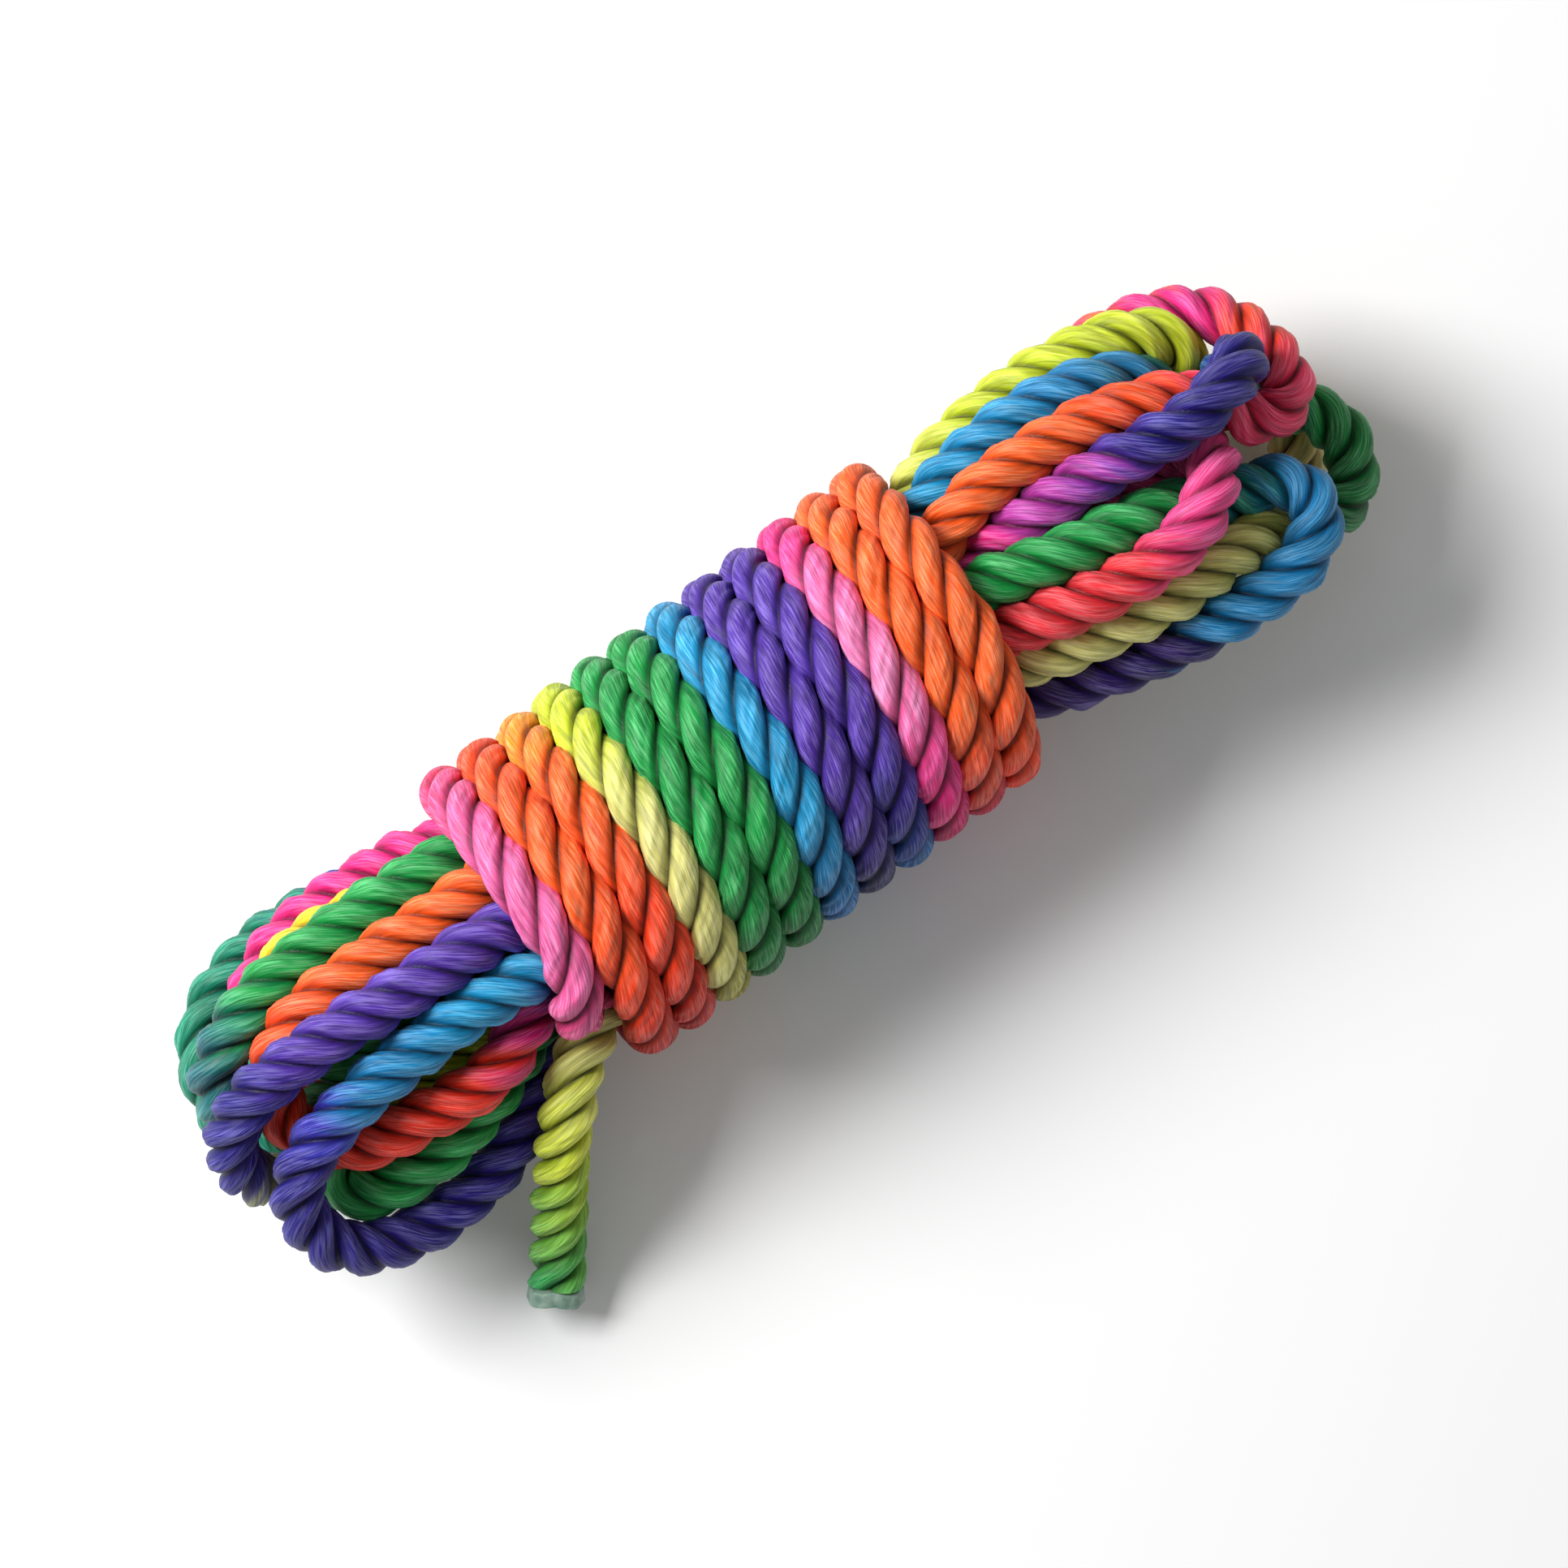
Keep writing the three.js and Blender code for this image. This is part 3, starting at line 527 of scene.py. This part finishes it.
# The rope's surface: rings of points that turn with the lay of the strands
def ropeSurface(rng, line, sides, lays, bulk, creases):
    around = 3 * rope["pointsPerStrand"]
    rings = len(line)
    t = directions(line)
    ups = np.cross(t, sides)
    steps = np.diff(lengthAlong(line))
    turned = np.concatenate([[0], np.cumsum(2 * math.pi * steps / (0.5 * (lays[1:] + lays[:-1])))])
    turned += rng.uniform(0, 2 * math.pi)
    j = np.arange(around)
    across = (j % rope["pointsPerStrand"]) / rope["pointsPerStrand"] * 2 - 1      # -1..1 over a strand
    valley = abs(across) ** rope["fullness"]
    radius = rope["diameter"] / 2 * bulk[:, None] * (1 - creases[:, None] * valley[None])
    groove = np.exp(-((abs(across) - rope["yarnAt"]) / rope["yarnWidth"]) ** 2)[None]
    radius -= rope["yarnGroove"] * groove * (0.75 + 0.45 * softNoise(rng, rings, around, 14, 6))
    radius += rope["lumps"] * softNoise(rng, rings, around, 5, 2.2) * (1 - 0.4 * across ** 2)
    radius += 1.3 * rope["lumps"] * softNoise(rng, rings, around, 12, 9)
    angle = turned[:, None] + 2 * math.pi * j[None] / around
    outward = sides[:, None] * np.cos(angle)[..., None] + ups[:, None] * np.sin(angle)[..., None]
    offset = outward * radius[..., None]
    surface = line[:, None] + offset
    surface[..., 2] = np.maximum(surface[..., 2], 0)
    return surface, np.repeat(1 - valley[None], rings, 0), turned


# Dye along the rope, and on the binding painted shade and highlight too: each strand and fibre changes colour
# at its own place
def dyeSurface(rng, stops, along, around, spread=0.004):
    strandOf = np.arange(around) // rope["pointsPerStrand"]
    shift = rng.uniform(-1, 1, 3)[strandOf][None] * spread
    shift = shift + 0.45 * spread * softNoise(rng, len(along), around, 9, 1.6)
    shift = shift + 0.5 * spread * softNoise(rng, len(along), around, 30, 8)
    at = along[:, None] + shift
    where = np.array([s for s, _ in stops])
    colours = np.array([linearDye(name) for _, name in stops])
    return np.stack([np.interp(at, where, colours[:, k]) for k in range(3)], -1)


def smoothNormals(surface):
    alongS = np.gradient(surface, axis=0)
    wrapped = np.concatenate([surface[:, -1:], surface, surface[:, :1]], 1)
    aroundS = (wrapped[:, 2:] - wrapped[:, :-2]) / 2
    n = np.cross(aroundS, alongS)
    return n / np.maximum(np.linalg.norm(n, axis=2), 1e-12)[..., None]


def ropePiece(cadNode, slotName, surface, normals, height, dye, line, fibres, first, last):
    rows = slice(first, last + 1)
    grid, around = surface[rows], surface.shape[1]
    rings = len(grid)
    vertices = np.concatenate([grid.reshape(-1, 3), line[first][None], line[last][None]])
    i, j = np.meshgrid(np.arange(rings - 1), np.arange(around), indexing="ij")
    nextJ = (j + 1) % around
    quads = np.stack([i * around + j, i * around + nextJ, (i + 1) * around + nextJ, (i + 1) * around + j], -1)
    faces = quads.reshape(-1, 4).tolist()
    startPole, endPole, base = rings * around, rings * around + 1, (rings - 1) * around
    for k in range(around):
        faces.append([startPole, (k + 1) % around, k])
        faces.append([endPole, base + k, base + (k + 1) % around])
    mesh = bpy.data.meshes.new(cadNode + "_rope")
    mesh.from_pydata(vertices.tolist(), [], faces)
    t = directions(line[first:last + 1])
    ends = np.stack([-t[0], t[-1]])
    allNormals = np.concatenate([normals[rows].reshape(-1, 3), ends])
    mesh.polygons.foreach_set("use_smooth", np.ones(len(faces), bool))
    colour = mesh.attributes.new("dye", "FLOAT_COLOR", "POINT")
    rgb = np.concatenate([dye[rows].reshape(-1, 3), dye[first, :1], dye[last, :1]])
    colour.data.foreach_set("color", np.column_stack([rgb, np.ones(len(rgb))]).astype(np.float32).ravel())
    crest = mesh.attributes.new("crest", "FLOAT", "POINT")
    crest.data.foreach_set("value", np.concatenate([height[rows].ravel(), [0, 0]]).astype(np.float32))
    mapped = mesh.uv_layers.new(name="fibres")
    corners = np.stack([
        np.stack([fibres[i + first, j], i * rope["ringStep"]], -1),
        np.stack([fibres[i + first, j + 1], i * rope["ringStep"]], -1),
        np.stack([fibres[i + first + 1, j + 1], (i + 1) * rope["ringStep"]], -1),
        np.stack([fibres[i + first + 1, j], (i + 1) * rope["ringStep"]], -1)], 2).reshape(-1, 2)
    corners = np.concatenate([corners, np.zeros((6 * around, 2))])
    mapped.data.foreach_set("uv", corners.astype(np.float32).ravel())
    mesh.validate()
    mesh.normals_split_custom_set_from_vertices(allNormals.tolist())
    piece = bpy.data.objects.new(mesh.name, mesh)
    bpy.context.scene.collection.objects.link(piece)
    piece.data.materials.append(softRope[slotName])
    declare(piece, cadNode)
    return piece

def node(tree, kind, place, **values):
    made = tree.nodes.new(kind)
    made.location = place
    for key, value in values.items():
        setattr(made, key, value)
    return made


def stretchedNoise(tree, source, place, across, along, detail):
    mapping = node(tree, "ShaderNodeMapping", (place[0], place[1]))
    mapping.inputs["Scale"].default_value = (1 / across, 1 / along, 1)
    noise = node(tree, "ShaderNodeTexNoise", (place[0] + 180, place[1]), noise_dimensions="2D")
    noise.inputs["Scale"].default_value = 1
    noise.inputs["Detail"].default_value = detail
    tree.links.new(source, mapping.inputs["Vector"])
    tree.links.new(mapping.outputs["Vector"], noise.inputs["Vector"])
    return noise.outputs["Fac"]


def ramp(tree, source, place, stops):
    made = node(tree, "ShaderNodeValToRGB", place)
    for element, (at, value) in zip(made.color_ramp.elements, (stops[0], stops[-1])):
        element.position, element.color = at, (value, value, value, 1)
    for at, value in stops[1:-1]:
        made.color_ramp.elements.new(at).color = (value, value, value, 1)
    tree.links.new(source, made.inputs["Fac"])
    return made.outputs["Color"]


def mix(tree, place, kind, factor, a, b):
    made = node(tree, "ShaderNodeMix", place, data_type="RGBA", blend_type=kind)
    for socket, value in ((made.inputs["Factor"], factor), (made.inputs[6], a), (made.inputs[7], b)):
        if isinstance(value, bpy.types.NodeSocket):
            tree.links.new(value, socket)
        else:
            socket.default_value = value
    return made.outputs[2]


def makeSoftRope(name, offset):
    material = bpy.data.materials.new(name)
    material.use_nodes = True
    tree = material.node_tree
    shader = tree.nodes["Principled BSDF"]
    dye = node(tree, "ShaderNodeAttribute", (-1500, 300), attribute_name="dye").outputs["Color"]
    crest = node(tree, "ShaderNodeAttribute", (-1500, 0), attribute_name="crest").outputs["Fac"]
    laid = node(tree, "ShaderNodeUVMap", (-1700, -300), uv_map="fibres").outputs["UV"]
    shifted = node(tree, "ShaderNodeVectorMath", (-1600, -300), operation="ADD")
    shifted.inputs[1].default_value = (offset, offset * 1.7, 0)
    tree.links.new(laid, shifted.inputs[0])
    laid = shifted.outputs["Vector"]
    fine = stretchedNoise(tree, laid, (-1400, -300), fibre["across"], fibre["along"], 3)
    clumps = stretchedNoise(tree, laid, (-1400, -600), fibre["clump"], fibre["along"] * 1.6, 2)
    patches = stretchedNoise(tree, laid, (-1400, -900), 0.006, 0.012, 1)

    # painted highlight: pale streaks of a lighter tint of the dye are mixed in on the strand crests, and
    # painted shade darkens each strand towards the crease between strands
    highlightStreaks = ramp(tree, fine, (-1000, -300), [(0.4, 0.02), (0.64, 0.9)])
    crestHighlightMask = ramp(tree, crest, (-1000, 0), [(0.45, 0), (1, 1)])
    paintedHighlightShare = node(tree, "ShaderNodeMath", (-760, -200), operation="MULTIPLY")
    tree.links.new(highlightStreaks, paintedHighlightShare.inputs[0])
    tree.links.new(crestHighlightMask, paintedHighlightShare.inputs[1])
    brighter = mix(tree, (-900, 400), "SCREEN", 1.0, dye, dye)
    highlightTint = mix(tree, (-700, 300), "SCREEN", 1.0, brighter, (0.11, 0.11, 0.11, 1))
    # painted highlight: the crests take a paler tint of the dye in streaks
    body = mix(tree, (-500, 300), "MIX", paintedHighlightShare.outputs[0], dye, highlightTint)
    clumpShade = ramp(tree, clumps, (-1000, -600), [(0.34, 0.62), (0.6, 1.12)])
    body = mix(tree, (-350, 300), "MULTIPLY", 0.8, body, clumpShade)
    patchShade = ramp(tree, patches, (-1000, -900), [(0.3, 0.86), (0.7, 1.08)])
    body = mix(tree, (-200, 300), "MULTIPLY", 0.7, body, patchShade)
    # painted shade: the colour darkens towards the crease between strands, down to a seventh in its depth
    paintedCreaseShade = ramp(tree, crest, (-700, 0), [(0, 0.14), (0.2, 0.42), (0.5, 0.85), (1, 1.0)])
    creaseShaded = mix(tree, (-350, 0), "MULTIPLY", 1.0, body, paintedCreaseShade)
    tree.links.new(creaseShaded, shader.inputs["Base Color"])

    rough = node(tree, "ShaderNodeMapRange", (-300, -250))
    rough.inputs["To Min"].default_value = fibre["roughness"] - 0.1
    rough.inputs["To Max"].default_value = fibre["roughness"] + 0.14
    tree.links.new(clumps, rough.inputs["Value"])
    tree.links.new(rough.outputs["Result"], shader.inputs["Roughness"])
    heights = mix(tree, (-500, -500), "MIX", 0.4, fine, clumps)
    bump = node(tree, "ShaderNodeBump", (-250, -500))
    bump.inputs["Strength"].default_value = fibre["bumpStrength"]
    bump.inputs["Distance"].default_value = fibre["bump"]
    tree.links.new(heights, bump.inputs["Height"])
    tree.links.new(bump.outputs["Normal"], shader.inputs["Normal"])
    shader.inputs["Sheen Weight"].default_value = fibre["sheen"]
    shader.inputs["Sheen Roughness"].default_value = 0.45
    shader.inputs["Specular IOR Level"].default_value = 0.25
    return material


slotNames = ["rope_pink", "rope_orange", "rope_yellow", "rope_green", "rope_blue", "rope_violet"]
softRope = {name: makeSoftRope(name, 0.37 * k) for k, name in enumerate(slotNames)}


def declare(piece, cadNode):
    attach(piece, "root")
    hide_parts(cadNode)


def fibrePlace(turned, around, leaning):
    places = np.arange(around + 1)[None] / around + leaning * turned[:, None] / (2 * math.pi)
    return places * fibre["girth"]


firstSide = (0.1, 0.3, 1)


def buildPass(rng, b, line, lay, farEnd="object"):
    sides = carried(directions(line), firstSide)
    along = lengthAlong(line)
    lays = np.full(len(line), lay)
    bulk = np.full(len(line), rope["bulk"])
    if farEnd == "bare":
        lays = np.interp(along, b["unwinds"], [rope["passLay"], lay])
        bulk = np.interp(along, b["swells"], [rope["bulk"], rope["tailBulk"]])
    creases = np.full(len(line), rope["creaseDepth"])
    surface, height, turned = ropeSurface(rng, line, sides, lays, bulk, creases)
    dye = dyeSurface(rng, [(s / 1000, c) for s, c in b["dye"]], along, surface.shape[1])
    fibres = fibrePlace(turned, surface.shape[1], fibre["passLean"])
    ropePiece(b["name"], b["slot"], surface, smoothNormals(surface), height, dye, line, fibres,
              0, len(line) - 1)


# The whole binding is one line, cut at the seams into its turns
def buildBinding(rng, leadIn, tuckOut):
    marks = [0]
    parts = [evenly(catmullLine(leadIn, 8), rope["ringStep"])]
    for turn in range(binding["count"], 1, -1):
        dense = wrapTurn(turn, seam, 2 * math.pi + seam, 400)
        parts.append(evenly(dense, rope["ringStep"])[1:])
    over = evenly(wrapTurn(1, seam, tuckAngle, 200), rope["ringStep"])[1:]
    out = evenly(catmullLine(tuckOut, 8), rope["ringStep"])[1:]
    parts.append(np.vstack([over, out]))
    for p in parts:
        marks.append(marks[-1] + len(p) - (1 if len(marks) == 1 else 0))
    line = np.vstack(parts) + [0, 0, axisHeight]
    t = directions(line)
    sides = bindingSides(line, t, marks[1], marks[-2] + len(over))
    along = lengthAlong(line)
    wound = along - along[marks[1]]
    fade = binding["fade"]
    lastPressed = along[marks[-2]] + binding["pressedOver"]
    onTurns = np.clip((wound + fade) / fade, 0, 1) * np.clip((lastPressed - along) / fade, 0, 1)
    lays = rope["passLay"] + (rope["bindingLay"] - rope["passLay"]) * onTurns
    bulk = 1 + (binding["spread"] - 1) * onTurns
    creases = rope["creaseDepth"] + (rope["bindingCrease"] - rope["creaseDepth"]) * onTurns
    surface, height, turned = ropeSurface(rng, line, sides, lays, bulk, creases)
    turnLength = 2 * math.pi * binding["radius"]
    # the binding's colour stops hold painted shade on the near side of each turn and painted highlight on top
    stops = [(along[marks[1]] + w * turnLength * binding["leanStretch"], c) for w, c in bindingDyeAndShade]
    dye = dyeSurface(rng, stops, along, surface.shape[1])
    fibres = fibrePlace(turned, surface.shape[1], fibre["bindingLean"])
    normals = smoothNormals(surface)
    for k, (name, slotName) in enumerate(bindingPieces):
        first, last = marks[k], marks[k + 1]
        ropePiece(name, slotName, surface, normals, height, dye, line, fibres, first, last)


# Sideways directions that face along the hank on the turns, and are carried on over the lead and the tuck
def bindingSides(line, t, firstTurn, lastTurn):
    outward = line - [0, 0, axisHeight]
    outward[:, 0] = 0
    outward /= np.linalg.norm(outward, axis=1)[:, None]
    sides = np.cross(outward, t)
    sides /= np.linalg.norm(sides, axis=1)[:, None]
    sides[:firstTurn] = carried(t[:firstTurn][::-1], sides[firstTurn])[::-1]
    sides[lastTurn:] = carried(t[lastTurn:], sides[lastTurn - 1])
    return sides


bindingPieces = [
    ("wrap_lead", "rope_orange"), ("wrap_turn_12", "rope_orange"), ("wrap_turn_11", "rope_orange"),
    ("wrap_turn_10", "rope_pink"), ("wrap_turn_09", "rope_violet"), ("wrap_turn_08", "rope_violet"),
    ("wrap_turn_07", "rope_blue"), ("wrap_turn_06", "rope_green"), ("wrap_turn_05", "rope_green"),
    ("wrap_turn_04", "rope_yellow"), ("wrap_turn_03", "rope_orange"),
    ("wrap_turn_02", "rope_orange"), ("wrap_end", "rope_pink"),
]

lines, leadIn, tuckOut = settledLines()
print("rope settled:", len(lines), "lines")
for k, b in enumerate(rightBights + leftBights):
    buildPass(np.random.default_rng(40 + k), b, lines[b["name"]], rope["passLay"])
print("bights laid")
buildBinding(np.random.default_rng(7), leadIn, tuckOut)
print("binding wound")
tail = lines["free_end"]
buildPass(np.random.default_rng(91), freeEnd, tail, rope["tailLay"], "bare")

# The cut end is melted so that it can't unlay: a flared rim around a sunken face
sealed = {"radius": 0.0056, "length": 0.0030, "sides": 36, "rim": 0.0008, "sink": 0.0006}


def sealedMaterial():
    material = bpy.data.materials.new("rope_sealed")
    material.use_nodes = True
    tree = material.node_tree
    shader = tree.nodes["Principled BSDF"]
    place = node(tree, "ShaderNodeTexCoord", (-1200, 0)).outputs["Object"]
    blotches = node(tree, "ShaderNodeTexNoise", (-900, 100))
    blotches.inputs["Scale"].default_value = 420
    blotches.inputs["Detail"].default_value = 4
    tree.links.new(place, blotches.inputs["Vector"])
    colours = node(tree, "ShaderNodeValToRGB", (-650, 100))
    colours.color_ramp.elements[0].position = 0.32
    colours.color_ramp.elements[0].color = (0.10, 0.20, 0.16, 1)
    colours.color_ramp.elements[1].position = 0.68
    colours.color_ramp.elements[1].color = (0.30, 0.42, 0.33, 1)
    tree.links.new(blotches.outputs["Fac"], colours.inputs["Fac"])
    tree.links.new(colours.outputs["Color"], shader.inputs["Base Color"])
    rough = node(tree, "ShaderNodeMapRange", (-400, -100))
    rough.inputs["To Min"].default_value = 0.3
    rough.inputs["To Max"].default_value = 0.6
    tree.links.new(blotches.outputs["Fac"], rough.inputs["Value"])
    tree.links.new(rough.outputs["Result"], shader.inputs["Roughness"])
    bump = node(tree, "ShaderNodeBump", (-400, -350))
    bump.inputs["Distance"].default_value = 0.0004
    bump.inputs["Strength"].default_value = 0.5
    tree.links.new(blotches.outputs["Fac"], bump.inputs["Height"])
    tree.links.new(bump.outputs["Normal"], shader.inputs["Normal"])
    return material


def buildSealedTip(end, direction):
    bpy.ops.object.select_all(action="DESELECT")
    centre = end + direction * (hank["gap"] + sealed["length"] / 2)
    bpy.ops.mesh.primitive_cylinder_add(vertices=sealed["sides"], radius=sealed["radius"] * 0.93,
                                        depth=sealed["length"], end_fill_type="NGON", location=(0, 0, 0))
    tip = bpy.context.object
    tip.name = tip.data.name = "sealed_tip_melted"
    top = [p.index for p in tip.data.polygons if p.normal.z > 0.9]
    bpy.ops.object.mode_set(mode="EDIT")
    bpy.ops.mesh.select_mode(type="FACE")
    bpy.ops.mesh.select_all(action="DESELECT")
    bpy.ops.object.mode_set(mode="OBJECT")
    for index in top:
        tip.data.polygons[index].select = True
    bpy.ops.object.mode_set(mode="EDIT")
    bpy.ops.transform.resize(value=(1.08, 1.08, 1))
    bpy.ops.mesh.inset(thickness=sealed["rim"], depth=0)
    bpy.ops.mesh.inset(thickness=sealed["rim"], depth=-sealed["sink"])
    bpy.ops.mesh.inset(thickness=sealed["radius"] * 0.4, depth=-sealed["sink"] * 0.3)
    bpy.ops.mesh.select_all(action="SELECT")
    bpy.ops.mesh.bevel(offset=0.0003, segments=2, affect="EDGES")
    bpy.ops.object.mode_set(mode="OBJECT")
    roughenTip(tip)
    turn = Vector((0, 0, 1)).rotation_difference(Vector(direction))
    tip.rotation_mode = "QUATERNION"
    tip.rotation_quaternion = turn
    tip.location = centre
    bpy.ops.object.transform_apply(location=True, rotation=True, scale=True)
    bpy.ops.object.shade_smooth_by_angle(angle=math.radians(50))
    for v in tip.data.vertices:
        v.co.z = max(v.co.z, 0)      # flat where it rests on the ground
    tip.data.materials.append(sealedMaterial())
    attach(tip, "root")
    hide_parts("sealed_tip")


# Melting leaves the rim three-lobed and uneven
def roughenTip(tip):
    for v in tip.data.vertices:
        angle = math.atan2(v.co.y, v.co.x)
        lobes = 1 + 0.05 * math.cos(3 * angle + 0.6)
        lobes += 0.025 * math.sin(5 * angle) + 0.02 * math.sin(11 * angle + 1)
        v.co.x *= lobes
        v.co.y *= lobes
        v.co.z += 0.00025 * math.sin(4 * angle + 1.3)


tailEnd = Vector(tail[-1])
buildSealedTip(tailEnd, (tailEnd - Vector(tail[-6])).normalized())
print("sealed tip made")

# Floor, light and camera
studio = {
    "floorSize": 6.0, "floorColour": (0.9, 0.9, 0.9, 1), "floorDrop": 0.0002,
    "worldColour": (1, 1, 1, 1), "worldStrength": 0.32,
    "key": {"place": (-0.55, 0.8, 1.0), "size": 0.7, "power": 26},
    "fill": {"place": (0.7, -0.9, 1.3), "size": 1.2, "power": 1},
    "lightTarget": (0, 0, 0.03),
    "cameraTarget": (0.00597, -0.0071, 0.033), "cameraDistance": 1.5, "lens": 181.7,
    "azimuth": -36.4, "elevation": 85.0,
}


def makeFloor():
    bpy.ops.object.select_all(action="DESELECT")
    bpy.ops.mesh.primitive_plane_add(size=studio["floorSize"], location=(0, 0, -studio["floorDrop"]))
    floor = bpy.context.object
    floor.name = floor.data.name = "studio_floor"
    material = bpy.data.materials.new("studio_floor")
    material.use_nodes = True
    shader = material.node_tree.nodes["Principled BSDF"]
    shader.inputs["Base Color"].default_value = studio["floorColour"]
    shader.inputs["Roughness"].default_value = 0.9
    floor.data.materials.append(material)


def makeLight(name):
    lamp = studio[name]
    data = bpy.data.lights.new(name, "AREA")
    data.size = lamp["size"]
    data.energy = lamp["power"]
    light = bpy.data.objects.new(name, data)
    light.location = lamp["place"]
    aim = Vector(studio["lightTarget"]) - Vector(lamp["place"])
    light.rotation_euler = aim.to_track_quat("-Z", "Y").to_euler()
    bpy.context.scene.collection.objects.link(light)


def makeCamera():
    data = bpy.data.cameras.new("camera")
    data.lens = studio["lens"]
    data.sensor_width = 36
    camera = bpy.data.objects.new("camera", data)
    a, e = math.radians(studio["azimuth"]), math.radians(studio["elevation"])
    away = Vector((math.sin(a) * math.cos(e), -math.cos(a) * math.cos(e), math.sin(e)))
    up = Vector((-math.sin(a) * math.sin(e), math.cos(a) * math.sin(e), math.cos(e)))
    right = up.cross(away)
    camera.rotation_mode = "QUATERNION"
    turn = [[right[k], up[k], away[k]] for k in range(3)]
    camera.rotation_quaternion = Matrix(turn).to_quaternion()
    camera.location = Vector(studio["cameraTarget"]) + away * studio["cameraDistance"]
    bpy.context.scene.collection.objects.link(camera)
    bpy.context.scene.camera = camera


makeFloor()
makeLight("key")
makeLight("fill")
makeCamera()
world = bpy.data.worlds.new("studio")
world.use_nodes = True
world.node_tree.nodes["Background"].inputs["Color"].default_value = studio["worldColour"]
world.node_tree.nodes["Background"].inputs["Strength"].default_value = studio["worldStrength"]
bpy.context.scene.world = world
bpy.context.scene.view_settings.view_transform = "Standard"
print("studio ready")
